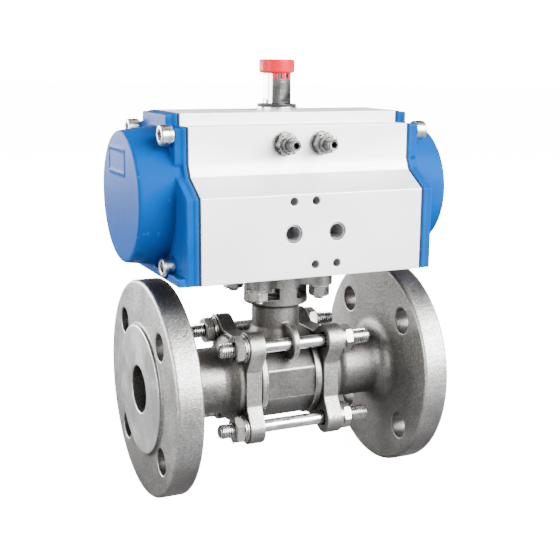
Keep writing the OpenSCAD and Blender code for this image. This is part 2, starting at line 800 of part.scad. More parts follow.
valve_body();
flange_left();
flange_right();
end_piece_left();
end_piece_right();
seat_left();
seat_right();
body_seal_left();
body_seal_right();
ball();
stem();
stem_thrust_washer();
stem_packing();
gland_ring();
belleville_washers();
stem_nut();
tie_bolts();
tie_nuts();
tie_washers();
mounting_studs();
mounting_nuts();
mounting_washers();
actuator_body();
end_cap_left();
end_cap_right();
cap_gasket_left();
cap_gasket_right();
cap_screws_left();
cap_screws_right();
piston_left();
piston_right();
piston_seal_left();
piston_seal_right();
guide_ring_left();
guide_ring_right();
rack_pad_left();
rack_pad_right();
pinion();
pinion_seal_lower();
pinion_seal_upper();
pinion_bush_lower();
pinion_bush_upper();
stop_cam();
thrust_ring();
shaft_washer();
snap_ring();
stop_screw_left();
stop_screw_right();
stop_nuts();
stop_washers();
stop_seals();
indicator_cap();
indicator_screw();
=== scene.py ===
"""Pneumatic ball valve: finished surfaces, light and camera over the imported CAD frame. Metres."""

import json
import math

import bmesh
import bpy
from mathutils import Matrix, Vector

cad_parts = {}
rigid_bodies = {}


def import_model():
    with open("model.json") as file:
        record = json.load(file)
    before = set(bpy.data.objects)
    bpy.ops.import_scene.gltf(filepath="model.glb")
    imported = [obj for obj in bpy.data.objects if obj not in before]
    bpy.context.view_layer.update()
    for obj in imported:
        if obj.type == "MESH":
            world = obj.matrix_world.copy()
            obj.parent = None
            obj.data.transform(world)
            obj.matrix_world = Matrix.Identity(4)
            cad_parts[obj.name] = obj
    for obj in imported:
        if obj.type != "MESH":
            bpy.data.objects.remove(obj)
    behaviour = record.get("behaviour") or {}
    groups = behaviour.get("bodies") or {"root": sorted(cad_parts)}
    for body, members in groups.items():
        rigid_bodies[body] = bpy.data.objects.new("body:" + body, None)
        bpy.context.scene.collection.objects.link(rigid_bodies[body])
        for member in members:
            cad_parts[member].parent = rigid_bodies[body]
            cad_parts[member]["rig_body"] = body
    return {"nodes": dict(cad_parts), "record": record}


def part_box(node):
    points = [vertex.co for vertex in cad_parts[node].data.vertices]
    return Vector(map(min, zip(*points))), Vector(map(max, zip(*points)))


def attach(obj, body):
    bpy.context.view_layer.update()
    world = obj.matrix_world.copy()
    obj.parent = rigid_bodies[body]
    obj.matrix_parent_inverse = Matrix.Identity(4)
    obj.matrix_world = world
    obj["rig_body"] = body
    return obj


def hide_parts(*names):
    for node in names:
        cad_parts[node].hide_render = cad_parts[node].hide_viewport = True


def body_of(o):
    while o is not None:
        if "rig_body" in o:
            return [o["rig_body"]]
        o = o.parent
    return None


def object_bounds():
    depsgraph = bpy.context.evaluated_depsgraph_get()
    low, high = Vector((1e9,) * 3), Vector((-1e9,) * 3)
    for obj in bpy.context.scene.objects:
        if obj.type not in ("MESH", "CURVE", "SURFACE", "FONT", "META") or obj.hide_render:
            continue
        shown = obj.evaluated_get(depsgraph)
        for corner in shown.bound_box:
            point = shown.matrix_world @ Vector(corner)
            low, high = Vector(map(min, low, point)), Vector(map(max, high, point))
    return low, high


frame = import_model()
cad_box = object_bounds()
NODES = frame["nodes"]
MM = 0.001
TAU = 2 * math.pi


# ---------------------------------------------------------------- shader helpers
class Surface:
    """A Principled surface with object-space textures."""

    def __init__(self, name, **values):
        self.material = bpy.data.materials.new(name)
        self.material.use_nodes = True
        self.tree = self.material.node_tree
        self.tree.nodes.clear()
        out = self.tree.nodes.new("ShaderNodeOutputMaterial")
        self.bsdf = self.tree.nodes.new("ShaderNodeBsdfPrincipled")
        self.tree.links.new(self.bsdf.outputs["BSDF"], out.inputs["Surface"])
        self.place = self.tree.nodes.new("ShaderNodeTexCoord").outputs["Object"]
        for key, value in values.items():
            self.set(key.replace("_", " "), value)

    def set(self, socket, value):
        """Gives a socket a plain number or colour, or links it."""
        target = self.bsdf.inputs[socket]
        if isinstance(value, bpy.types.NodeSocket):
            self.tree.links.new(value, target)
        elif isinstance(value, tuple):
            target.default_value = (*value, 1) if target.type == "RGBA" else value
        else:
            target.default_value = value

    def noise(self, scale, detail=3, stretch=None, roughness=0.55, distortion=0.0):
        node = self.tree.nodes.new("ShaderNodeTexNoise")
        node.inputs["Scale"].default_value = scale
        node.inputs["Detail"].default_value = detail
        node.inputs["Roughness"].default_value = roughness
        node.inputs["Distortion"].default_value = distortion
        source = self.place
        if stretch:
            mapping = self.tree.nodes.new("ShaderNodeMapping")
            mapping.inputs["Scale"].default_value = stretch
            self.tree.links.new(source, mapping.inputs["Vector"])
            source = mapping.outputs["Vector"]
        self.tree.links.new(source, node.inputs["Vector"])
        return node.outputs["Fac"]

    def rings(self, direction, scale):
        node = self.tree.nodes.new("ShaderNodeTexWave")
        node.wave_type = "RINGS"
        node.rings_direction = direction
        node.inputs["Scale"].default_value = scale
        node.inputs["Distortion"].default_value = 0.6
        node.inputs["Detail"].default_value = 1
        self.tree.links.new(self.place, node.inputs["Vector"])
        return node.outputs["Fac"]

    def pointiness(self):
        return self.tree.nodes.new("ShaderNodeNewGeometry").outputs["Pointiness"]

    def shelter(self, reach):
        """How open the surface is within reach: low between neighbouring parts."""
        node = self.tree.nodes.new("ShaderNodeAmbientOcclusion")
        node.samples = 6
        node.inputs["Distance"].default_value = reach
        return node.outputs["AO"]

    def math(self, operation, a, b=None, clamp=False):
        node = self.tree.nodes.new("ShaderNodeMath")
        node.operation = operation
        node.use_clamp = clamp
        for socket, value in zip(node.inputs, (a, b)):
            if isinstance(value, bpy.types.NodeSocket):
                self.tree.links.new(value, socket)
            elif value is not None:
                socket.default_value = value
        return node.outputs["Value"]

    def spread(self, source, low, high, to_low=0.0, to_high=1.0):
        node = self.tree.nodes.new("ShaderNodeMapRange")
        for key, value in zip(("From Min", "From Max", "To Min", "To Max"),
                              (low, high, to_low, to_high)):
            node.inputs[key].default_value = value
        self.tree.links.new(source, node.inputs["Value"])
        return node.outputs["Result"]

    def ramp(self, source, *stops):
        node = self.tree.nodes.new("ShaderNodeValToRGB")
        elements = node.color_ramp.elements
        while len(elements) < len(stops):
            elements.new(0.5)
        for element, (position, colour) in zip(elements, stops):
            element.position = position
            element.color = (*colour, 1)
        self.tree.links.new(source, node.inputs["Fac"])
        return node.outputs["Color"]

    def mix(self, factor, a, b, blend="MIX"):
        node = self.tree.nodes.new("ShaderNodeMix")
        node.data_type = "RGBA"
        node.blend_type = blend
        for key, value in ((0, factor), (6, a), (7, b)):
            if isinstance(value, bpy.types.NodeSocket):
                self.tree.links.new(value, node.inputs[key])
            elif isinstance(value, tuple):
                node.inputs[key].default_value = (*value, 1)
            else:
                node.inputs[key].default_value = value
        return node.outputs[2]

    def bump(self, height, distance, strength=1.0, under=None):
        node = self.tree.nodes.new("ShaderNodeBump")
        node.inputs["Strength"].default_value = strength
        node.inputs["Distance"].default_value = distance
        self.tree.links.new(height, node.inputs["Height"])
        if under is not None:
            self.tree.links.new(under, node.inputs["Normal"])
        self.set("Normal", node.outputs["Normal"])
        return node.outputs["Normal"]


def blasted_casting(name="blasted_casting", light=1.0):
    """Bead-blasted stainless casting; painted highlight on edges, painted shade in crevices and
    between parts.
    """
    s = Surface(name, Metallic=0.92)
    grain = s.noise(1150, 5, roughness=0.75)
    speck = s.noise(620, 3, roughness=0.6)
    cloud = s.noise(58, 5, distortion=0.5)
    tone = s.ramp(cloud, *((at, tuple(light * v for v in colour)) for at, colour in (
        (0.3, (0.36, 0.35, 0.335)), (0.52, (0.48, 0.473, 0.46)), (0.72, (0.56, 0.555, 0.54)))))
    tone = s.mix(s.spread(grain, 0.42, 0.6, 0.0, 0.62), tone, (0.12, 0.114, 0.108))
    # Painted highlight on the convex edges and painted shade in the concave creases, from
    # pointiness
    edge = s.spread(s.pointiness(), 0.505, 0.56)
    crevice_shade = s.spread(s.pointiness(), 0.495, 0.44)
    tone = s.mix(s.math("MULTIPLY", edge, 0.6), tone, (0.66, 0.66, 0.65))
    tone = s.mix(s.math("MULTIPLY", crevice_shade, 0.85), tone, (0.03, 0.026, 0.022))
    # Painted shade: darker where neighbouring parts shelter the surface
    tone = s.mix(s.spread(s.shelter(70 * MM), 0.35, 0.95, 0.85, 0.0), tone, (0.075, 0.067, 0.06))
    s.set("Base Color", tone)
    s.set("Roughness", s.spread(s.math("ADD", speck, s.math("MULTIPLY", cloud, 0.5)),
                                0.45, 1.05, 0.27, 0.52))
    shape = s.bump(speck, 0.24 * MM, 0.6)
    s.bump(grain, 0.16 * MM, 0.7, shape)
    return s.material


def turned_face():
    """Turned gasket face of a flange, with fine rings round the pipe axis."""
    s = Surface("turned_face", Metallic=0.95)
    rings = s.rings("X", 520)
    grain = s.noise(1500, 3)
    cloud = s.noise(70, 4)
    tone = s.ramp(cloud, (0.3, (0.56, 0.555, 0.54)), (0.7, (0.72, 0.715, 0.70)))
    s.set("Base Color", s.mix(s.spread(grain, 0.35, 0.7, 0.0, 0.4), tone, (0.18, 0.174, 0.168)))
    s.set("Roughness", s.spread(cloud, 0.3, 0.7, 0.3, 0.45))
    shape = s.bump(rings, 0.03 * MM, 0.5)
    s.bump(grain, 0.05 * MM, 0.5, shape)
    return s.material


def plated_steel(name, tone, rough, stretch=None, grain_scale=900, relief=0.012):
    """Bright steel with fine tool marks, handling wear and painted shade in its creases."""
    s = Surface(name, Metallic=1.0)
    marks = s.noise(grain_scale, 3, stretch)
    cloud = s.noise(160, 4, distortion=0.4)
    dark = tuple(0.82 * v for v in tone)
    colour = s.ramp(cloud, (0.32, dark), (0.62, tone))
    # Painted shade in the concave creases, from pointiness
    crevice_shade = s.spread(s.pointiness(), 0.49, 0.42)
    s.set("Base Color", s.mix(s.math("MULTIPLY", crevice_shade, 0.85), colour, (0.04, 0.037, 0.034)))
    s.set("Roughness", s.spread(s.math("ADD", marks, cloud), 0.7, 1.3, rough * 0.6, rough * 1.5))
    s.bump(marks, relief * MM, 0.5)
    return s.material


def anodised(name, tone, shade, metallic):
    """Satin anodised extrusion, with faint draw lines along X."""
    s = Surface(name, Metallic=metallic)
    lines = s.noise(1.0, 4, (18, 1500, 1500), roughness=0.65)
    grain = s.noise(2300, 2)
    cloud = s.noise(26, 4)
    tint = s.ramp(cloud, (0.3, shade), (0.65, tone))
    tint = s.mix(s.spread(lines, 0.35, 0.75, 0.0, 0.12), tint, tuple(0.75 * v for v in tone))
    s.set("Base Color", tint)
    s.set("Roughness", s.spread(s.math("ADD", lines, cloud), 0.7, 1.3, 0.30, 0.46))
    shape = s.bump(lines, 0.012 * MM, 0.5)
    s.bump(grain, 0.018 * MM, 0.4, shape)
    return s.material


def glossy_blue():
    """Thick blue powder coat with orange peel; painted highlight on its edges, painted shade in its
    creases and between parts.
    """
    s = Surface("blue_powder_coat", Roughness=0.3)
    peel = s.noise(620, 2)
    fine = s.noise(2600, 2)
    cloud = s.noise(34, 4)
    tone = s.ramp(cloud, (0.3, (0.0, 0.046, 0.215)), (0.7, (0.0, 0.060, 0.265)))
    # Painted highlight on the convex edges and painted shade in the creases, from pointiness
    edge = s.spread(s.pointiness(), 0.51, 0.60)
    crevice_shade = s.spread(s.pointiness(), 0.49, 0.42)
    tone = s.mix(s.math("MULTIPLY", edge, 0.4), tone, (0.0, 0.14, 0.46))
    tone = s.mix(s.math("MULTIPLY", crevice_shade, 0.75), tone, (0.0, 0.03, 0.17))
    # Painted shade: darker where neighbouring parts shelter the coat
    s.set("Base Color", s.mix(s.spread(s.shelter(18 * MM), 0.3, 0.9, 0.55, 0.0), tone,
                              (0.0, 0.02, 0.12)))
    s.set("Roughness", s.spread(fine, 0.3, 0.7, 0.26, 0.4))
    s.set("Specular IOR Level", 0.04)
    s.set("Specular Tint", (0.05, 0.45, 1.0))
    shape = s.bump(peel, 0.09 * MM, 0.35)
    s.bump(fine, 0.02 * MM, 0.3, shape)
    return s.material


def moulded(name, tone, rough, spread=0.25, specular=0.5):
    """Moulded plastic or rubber with a fine matt grain."""
    s = Surface(name)
    grain = s.noise(1800, 3)
    cloud = s.noise(120, 4)
    light = tuple(min(1.0, v * (1 + spread) + 0.01) for v in tone)
    s.set("Base Color", s.ramp(cloud, (0.3, tone), (0.7, light)))
    s.set("Roughness", s.spread(grain, 0.3, 0.7, rough * 0.8, min(1.0, rough * 1.2)))
    s.set("Specular IOR Level", specular)
    s.bump(grain, 0.03 * MM, 0.5)
    return s.material


def red_cap():
    """Red moulded cap, a little translucent."""
    s = Surface("red_moulding")
    grain = s.noise(1500, 2)
    cloud = s.noise(140, 3)
    s.set("Base Color", s.ramp(cloud, (0.3, (0.50, 0.0, 0.012)), (0.7, (0.60, 0.002, 0.02))))
    s.set("Roughness", s.spread(grain, 0.3, 0.7, 0.26, 0.42))
    s.set("Specular IOR Level", 0.35)
    s.set("Specular Tint", (1.0, 0.45, 0.5))
    s.set("Subsurface Weight", 0.1)
    s.set("Subsurface Radius", (0.6, 0.15, 0.1))
    s.set("Subsurface Scale", 1.0 * MM)
    s.bump(grain, 0.02 * MM, 0.4)
    return s.material


CAST = blasted_casting()
# Darker copy of the casting: painted shade on the front and back wrench flats of the body
SHADED_FLAT = blasted_casting("cast_wrench_flat_shade", 0.42)
TURNED = turned_face()
BRIGHT = plated_steel("bright_tie_bar", (0.74, 0.74, 0.73), 0.24, (0.15, 1, 1), relief=0.003)
NUT = plated_steel("nut_steel_finish", (0.50, 0.485, 0.455), 0.36, grain_scale=1300)
STOP = plated_steel("stop_nut_finish", (0.27, 0.263, 0.255), 0.28)
# Dark finish for thread roots: painted shade in the grooves
ROOT_SHADE = plated_steel("thread_root_shade", (0.10, 0.095, 0.09), 0.4)
GASKET = moulded("gasket_edge", (0.004, 0.007, 0.022), 0.6, 0.3, 0.2)
STEM = plated_steel("turned_steel", (0.62, 0.615, 0.60), 0.3, (1, 1, 6))
WASHER = plated_steel("ground_washer", (0.80, 0.80, 0.79), 0.24)
SCREW = plated_steel("cap_screw_finish", (0.66, 0.65, 0.62), 0.3)
BALL = plated_steel("polished_ball_finish", (0.78, 0.78, 0.77), 0.1)
SHAFT = plated_steel("nickel_shaft", (0.80, 0.79, 0.765), 0.13, (0.25, 0.25, 5), relief=0.0015)
BODY = anodised("anodised_satin", (0.95, 0.95, 0.95), (0.91, 0.912, 0.918), 0.3)
PISTON = anodised("anodised_piston", (0.66, 0.66, 0.65), (0.56, 0.56, 0.55), 0.9)
# Dark grey for the insides of the ports: painted shade
HOLE_SHADE = moulded("shaded_thread", (0.30, 0.302, 0.31), 0.42)
BLUE = glossy_blue()
RUBBER = moulded("black_rubber", (0.012, 0.012, 0.013), 0.62)
ACETAL = moulded("black_acetal", (0.02, 0.02, 0.022), 0.4)
TEFLON = moulded("white_ptfe", (0.80, 0.80, 0.77), 0.5, 0.05)
GRAPHITE = moulded("graphite_ring", (0.035, 0.034, 0.033), 0.5)
SPRING = moulded("blackened_steel", (0.010, 0.010, 0.012), 0.5, 0.6, 0.25)
RED = red_cap()

FINISH = {
    "valve_casting": CAST, "ptfe": TEFLON, "graphite_seal": GRAPHITE, "polished_ball": BALL,
    "stem_steel": STEM, "bright_rod": BRIGHT, "nut_steel": NUT, "anodised_body": BODY,
    "piston_aluminium": PISTON, "blue_paint": BLUE, "rubber": RUBBER,
    "cap_screw_steel": SCREW, "shaft_nickel": SHAFT, "acetal": ACETAL,
    "washer_steel": WASHER, "blackened_spring": SPRING, "red_plastic": RED,
}
SLOT_OF = {part["node"]: part["material_slot"] for part in frame["record"]["subparts"]}


# ---------------------------------------------------------------- geometry helpers
def shade(mesh):
    mesh.polygons.foreach_set("use_smooth", [True] * len(mesh.polygons))
    mesh.update()


def piece(name, mesh, nodes, finishes):
    """Shows mesh instead of the CAD nodes, on the body of the first one."""
    obj = bpy.data.objects.new(name, mesh)
    bpy.context.scene.collection.objects.link(obj)
    for finish in finishes:
        mesh.materials.append(finish)
    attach(obj, body_of(NODES[nodes[0]])[0])
    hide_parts(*nodes)
    return obj


def welded(*nodes):
    """The nodes' meshes as one bmesh, with split vertices joined again."""
    bm = bmesh.new()
    for node in nodes:
        bm.from_mesh(NODES[node].data)
    bmesh.ops.remove_doubles(bm, verts=bm.verts, dist=2e-6)
    for face in bm.faces:
        face.material_index = 0
    return bm


def to_mesh(bm, name):
    mesh = bpy.data.meshes.new(name)
    bm.to_mesh(mesh)
    bm.free()
    return mesh


def keep_inside(mesh, low, high):
    """Holds every vertex within the CAD box."""
    for vertex in mesh.vertices:
        vertex.co = [min(max(vertex.co[i], low[i]), high[i]) for i in range(3)]


def bevelled(bm, width, segments=2, angle=28):
    """Rounds every edge sharper than angle."""
    bmesh.ops.dissolve_limit(bm, angle_limit=math.radians(0.4), verts=bm.verts, edges=bm.edges)
    sharp = [e for e in bm.edges
             if len(e.link_faces) == 2 and e.calc_face_angle(0) > math.radians(angle)]
    bmesh.ops.bevel(bm, geom=sharp, offset=width, offset_type="OFFSET", segments=segments,
                    profile=0.5, affect="EDGES", clamp_overlap=False)
    return bm


def rounded(node, width, finish=None, segments=2, angle=28):
    mesh = to_mesh(bevelled(welded(node), width, segments, angle), node + "_rounded")
    keep_inside(mesh, *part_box(node))
    shade(mesh)
    obj = piece(node + "_rounded", mesh, [node], [finish or FINISH[SLOT_OF[node]]])
    tidy = obj.modifiers.new("even_normals", "WEIGHTED_NORMAL")
    tidy.keep_sharp = False
    return obj


def cast_mesh(nodes, voxel, passes, name):
    """One cast skin over the nodes: small voxels, then smoothing that rounds every edge."""
    source = bpy.data.objects.new("cast_source", to_mesh(welded(*nodes), "cast_source"))
    bpy.context.scene.collection.objects.link(source)
    remesh = source.modifiers.new("skin", "REMESH")
    remesh.mode = "VOXEL"
    remesh.voxel_size = voxel
    soften = source.modifiers.new("soften", "SMOOTH")
    soften.factor = 0.5
    soften.iterations = passes
    bpy.context.view_layer.update()
    depsgraph = bpy.context.evaluated_depsgraph_get()
    mesh = bpy.data.meshes.new_from_object(source.evaluated_get(depsgraph))
    mesh.name = name
    bpy.data.objects.remove(source)
    low, high = zip(*(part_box(n) for n in nodes))
    keep_inside(mesh, [min(v[i] for v in low) for i in range(3)],
                [max(v[i] for v in high) for i in range(3)])
    mesh.materials.clear()
    shade(mesh)
    return mesh


def loft(bm, loops, place, close_ends=(True, True)):
    """Bridges loops of equal count into a skin; place maps a local point to the row frame."""
    rows = [[bm.verts.new(place @ Vector(p)) for p in loop] for loop in loops]
    count = len(rows[0])
    for a, b in zip(rows, rows[1:]):
        for i in range(count):
            j = (i + 1) % count
            bm.faces.new((a[i], a[j], b[j], b[i]))
    if close_ends[0]:
        bm.faces.new(rows[0][::-1])
    if close_ends[1]:
        bm.faces.new(rows[-1])


def circle_loop(radius, z, count):
    return [(radius * math.cos(TAU * i / count), radius * math.sin(TAU * i / count), z)
            for i in range(count)]


def hex_loop(across, z, count):
    """A hexagon sampled at the same angles as a circle."""
    points = []
    for i in range(count):
        angle = TAU * i / count
        lean = (angle + math.pi / 6) % (math.pi / 3) - math.pi / 6
        radius = across / 2 / math.cos(lean)
        points.append((radius * math.cos(angle), radius * math.sin(angle), z))
    return points


# One pitch of a thread: (share of the pitch, 0 at the root or 1 at the crest)
THREAD_FORM = ((0.0, 0.0), (0.14, 0.0), (0.44, 1.0), (0.58, 1.0), (0.88, 0.0))
NECK_SHARE = 0.94
TIP_SHARE = 0.4


def helical_thread(bm, place, z0, z1, major, minor, pitch, tapers=(0.0, 0.0), count=40):
    """Screw thread whose rows follow the helix. Its roots take the second material, a painted
    shade.

    Each end runs down to a plain ring of the neck radius. A taper is the length over which
    the thread thins towards its end."""
    neck = NECK_SHARE * minor
    rows_per_turn = len(THREAD_FORM)
    turns = math.ceil((z1 - z0) / pitch) + 1
    rows = []
    for turn in range(-1, turns):
        for share, height in THREAD_FORM:
            row = []
            for i in range(count):
                z = min(max(z0 + (turn + share + i / count) * pitch, z0), z1)
                radius = minor + (major - minor) * height
                if tapers[0]:
                    radius = min(radius, neck + (major - neck) * (z - z0) / tapers[0])
                if tapers[1]:
                    radius = min(radius, neck + (major - neck) * (z1 - z) / tapers[1])
                if z in (z0, z1):
                    radius = neck
                angle = TAU * i / count
                point = (radius * math.cos(angle), radius * math.sin(angle), z)
                row.append(bm.verts.new(place @ Vector(point)))
            rows.append(row)
    for k in range(len(rows) - 1):
        form = k % rows_per_turn
        root = form in (0, rows_per_turn - 1)
        for i in range(count):
            far = k + rows_per_turn if i == count - 1 else k
            if far + 1 >= len(rows):
                continue
            j = (i + 1) % count
            face = bm.faces.new((rows[k][i], rows[far][j], rows[far + 1][j], rows[k + 1][i]))
            face.material_index = 1 if root else 0


def close_tip(bm, place, neck, z, count):
    """The flat end disc of a threaded rod, in a ring and a centre."""
    loft(bm, [circle_loop(neck, z, count), circle_loop(TIP_SHARE * neck, z, count)], place,
         (False, True))


def weld(bm):
    bmesh.ops.remove_doubles(bm, verts=bm.verts, dist=1e-6)


def along(axis, origin, spin=0.0):
    """Matrix that carries local Z to an axis, through origin."""
    z = Vector(axis).normalized()
    side = Vector((0, 0, 1)) if abs(z.z) < 0.9 else Vector((1, 0, 0))
    x = side.cross(z).normalized()
    y = z.cross(x)
    m = Matrix(((x.x, y.x, z.x, origin[0]), (x.y, y.y, z.y, origin[1]),
                (x.z, y.z, z.z, origin[2]), (0, 0, 0, 1)))
    return m @ Matrix.Rotation(spin, 4, "Z")


def ring_loops(inner, outer, z0, z1, count, soft=0.15 * MM):
    """A washer with softened rims, as a closed tube of loops."""
    return [circle_loop(r, z, count) for r, z in (
        (inner, z0 + soft), (inner + soft, z0), (outer - soft, z0), (outer, z0 + soft),
        (outer, z1 - soft), (outer - soft, z1), (inner + soft, z1), (inner, z1 - soft),
        (inner, z0 + soft))]


def split_ring(bm, inner, outer, z0, z1, place, gap, count=48, soft=0.12 * MM):
    """A spring washer: a ring with a narrow slanted gap."""
    section = ((inner, z0), (outer - soft, z0), (outer, z0 + soft), (outer, z1 - soft),
               (outer - soft, z1), (inner, z1))
    rows = []
    for i in range(count + 1):
        angle = gap / 2 + (TAU - gap) * i / count
        rows.append([bm.verts.new(place @ Vector((r * math.cos(angle), r * math.sin(angle), z)))
                     for r, z in section])
    for a, b in zip(rows, rows[1:]):
        for i in range(len(section)):
            j = (i + 1) % len(section)
            bm.faces.new((a[i], b[i], b[j], a[j]))
    bm.faces.new(rows[0])
    bm.faces.new(rows[-1][::-1])


def finish_bmesh(bm, name):
    bmesh.ops.recalc_face_normals(bm, faces=bm.faces)
    mesh = to_mesh(bm, name)
    shade(mesh)
    return mesh


def smooth_by_angle(obj, degrees=35):
    """Keeps the creases sharper than degrees."""
    mesh = obj.data
    bm = bmesh.new()
    bm.from_mesh(mesh)
    for edge in bm.edges:
        edge.smooth = not (len(edge.link_faces) == 2
                           and edge.calc_face_angle(0) > math.radians(degrees))
    bm.to_mesh(mesh)
    bm.free()


# ---------------------------------------------------------------- castings
RAISED_R = 34.4 * MM
FLAT_X, FLAT_Y = 15 * MM, 20 * MM


def turned_faces(mesh, side):
    """Gives the flat gasket face of a flange its turned finish."""
    limit = max(side * v.co.x for v in mesh.vertices) - 0.25 * MM
    for face in mesh.polygons:
        centre = face.center
        if side * centre.x > limit and math.hypot(centre.y, centre.z) < RAISED_R:
            face.material_index = 1


for end, side in (("left", -1), ("right", 1)):
    nodes = [f"flange_{end}", f"end_piece_{end}"]
    skin = cast_mesh(nodes, 0.5 * MM, 3, f"end_casting_{end}")
    turned_faces(skin, side)
    piece(f"end_casting_{end}", skin, nodes, [CAST, TURNED])
skin = cast_mesh(["valve_body"], 0.45 * MM, 3, "body_casting")
# The front and back wrench flats take the darker casting copy, a painted shade
for face in skin.polygons:
    if abs(face.normal.y) > 0.985 and abs(face.center.y) > FLAT_Y and abs(face.center.x) < FLAT_X:
        face.material_index = 1
piece("body_casting", skin, ["valve_body"], [CAST, SHADED_FLAT])

# ---------------------------------------------------------------- tie bolts, studs and nuts
box_low, box_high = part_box("tie_bolts")
TIE_LEFT, TIE_RIGHT = box_low.x, box_high.x
TIE_MID = (TIE_LEFT + TIE_RIGHT) / 2
TIE_R = 3.9 * MM
TIE_Y = box_high.y - TIE_R
COUNT = 40
tie_places = [(y, z) for y in (-TIE_Y, TIE_Y) for z in (-TIE_Y, TIE_Y)]

TIE_ROOT = 3.2 * MM
TIE_SHANK_R = 3.4 * MM
TIE_PITCH = 1.25 * MM
TIE_CHAMFER = 0.9 * MM
THREAD_START = 24.9 * MM
SHANK_RINGS = (-24.6 * MM, -8 * MM, 8 * MM, 24.6 * MM)
bm = bmesh.new()
for n, (y, z) in enumerate(tie_places):
    place = along((1, 0, 0), (0, y, z), 0.7 * n)
    neck = NECK_SHARE * TIE_ROOT
    inner = (TIE_MID - THREAD_START, TIE_MID + THREAD_START)
    helical_thread(bm, place, TIE_LEFT, inner[0], TIE_R, TIE_ROOT, TIE_PITCH, (TIE_CHAMFER, 0))
    helical_thread(bm, place, inner[1], TIE_RIGHT, TIE_R, TIE_ROOT, TIE_PITCH, (0, TIE_CHAMFER))
    loft(bm, [circle_loop(neck, inner[0], COUNT)]
         + [circle_loop(TIE_SHANK_R, TIE_MID + x, COUNT) for x in SHANK_RINGS]
         + [circle_loop(neck, inner[1], COUNT)], place, (False, False))
    for end in (TIE_LEFT, TIE_RIGHT):
        close_tip(bm, place, neck, end, COUNT)
weld(bm)
obj = piece("tie_bolts_threaded", finish_bmesh(bm, "tie_bolts_threaded"), ["tie_bolts"],
            [BRIGHT, ROOT_SHADE])
smooth_by_angle(obj, 50)

WASHER_PAIR = 2 * MM
bm = bmesh.new()
washer_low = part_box("tie_washers")[1].x - WASHER_PAIR
for n, (y, z) in enumerate(tie_places):
    for side in (-1, 1):
        place = along((side, 0, 0), (0, y, z), 0.9 * n + side)
        x = washer_low
        loft(bm, ring_loops(4.2 * MM, 7.3 * MM, x, x + 0.95 * MM, 48), place, (False, False))
        split_ring(bm, 4.25 * MM, 6.7 * MM, x + 1.0 * MM, x + 1.98 * MM, place, 0.16)
obj = piece("tie_washer_pairs", finish_bmesh(bm, "tie_washer_pairs"), ["tie_washers"], [NUT])
smooth_by_angle(obj)

STUD_CIRCLE_R = 25 * MM
STUD_THREAD_TOP = 54 * MM
M6_R, M6_ROOT, M6_PITCH = 3 * MM, 2.45 * MM, 1 * MM
bm = bmesh.new()
stud_low, stud_high = (v.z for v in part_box("mounting_studs"))
for k in range(4):
    angle = math.radians(45 + 90 * k)
    centre = (STUD_CIRCLE_R * math.cos(angle), STUD_CIRCLE_R * math.sin(angle), 0)
    place = along((0, 0, 1), centre, k)
    neck = NECK_SHARE * M6_ROOT
    helical_thread(bm, place, stud_low, STUD_THREAD_TOP, M6_R, M6_ROOT, M6_PITCH, (0.7 * MM, 0))
    shank = [circle_loop(2.95 * MM, z, COUNT) for z in (STUD_THREAD_TOP + 0.2 * MM, stud_high)]
    loft(bm, [circle_loop(neck, STUD_THREAD_TOP, COUNT)] + shank, place, (False, True))
    close_tip(bm, place, neck, stud_low, COUNT)
weld(bm)
obj = piece("mounting_studs_threaded", finish_bmesh(bm, "mounting_studs_threaded"),
            ["mounting_studs"], [BRIGHT, ROOT_SHADE])
smooth_by_angle(obj, 50)

for node, width in (("tie_nuts", 0.25), ("mounting_nuts", 0.22), ("mounting_washers", 0.2),
                    ("stem_nut", 0.3), ("shaft_washer", 0.25), ("snap_ring", 0.2),
                    ("gland_ring", 0.15)):
    rounded(node, width * MM)
rounded("stop_nuts", 0.22 * MM, STOP)
rounded("stop_washers", 0.25 * MM, STOP)

# ---------------------------------------------------------------- stop screws
STOP_ROOT = 2.5 * MM
SOCKET_ACROSS, SOCKET_DEPTH = 3 * MM, 3.6 * MM
screw_low, screw_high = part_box("stop_screw_left")
TIP_Y, END_Y = screw_high.y, screw_low.y
for name in ("left", "right"):
    node = f"stop_screw_{name}"
    low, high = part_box(node)
    centre = ((low.x + high.x) / 2, 0, (low.z + high.z) / 2)
    place = along((0, -1, 0), centre, 0.4)
    start, stop = -TIP_Y, -END_Y
    neck = NECK_SHARE * STOP_ROOT
    bm = bmesh.new()
    helical_thread(bm, place, start, stop, M6_R, STOP_ROOT, M6_PITCH, (0.6 * MM, 1.0 * MM))
    close_tip(bm, place, neck, start, COUNT)
    loft(bm, [circle_loop(neck, stop, COUNT),
              hex_loop(SOCKET_ACROSS, stop - 0.02 * MM, COUNT),
              hex_loop(SOCKET_ACROSS - 0.05 * MM, stop - SOCKET_DEPTH, COUNT)],
         place, (False, True))
    weld(bm)
    mesh = finish_bmesh(bm, node + "_threaded")
    # The hex socket takes the black rubber finish as painted shade inside it
    for face in mesh.polygons:
        spot = face.center
        if stop - 4 * MM < -spot.y < stop - 0.3 * MM and \
                math.hypot(spot.x - centre[0], spot.z - centre[2]) < 1.9 * MM:
            face.material_index = 2
    obj = piece(node + "_threaded", mesh, [node], [STOP, ROOT_SHADE, RUBBER])
    smooth_by_angle(obj, 50)

# ---------------------------------------------------------------- cap screws
HEAD_R, HEAD_HEIGHT = 5 * MM, 6 * MM
KNURL_COUNT = 96
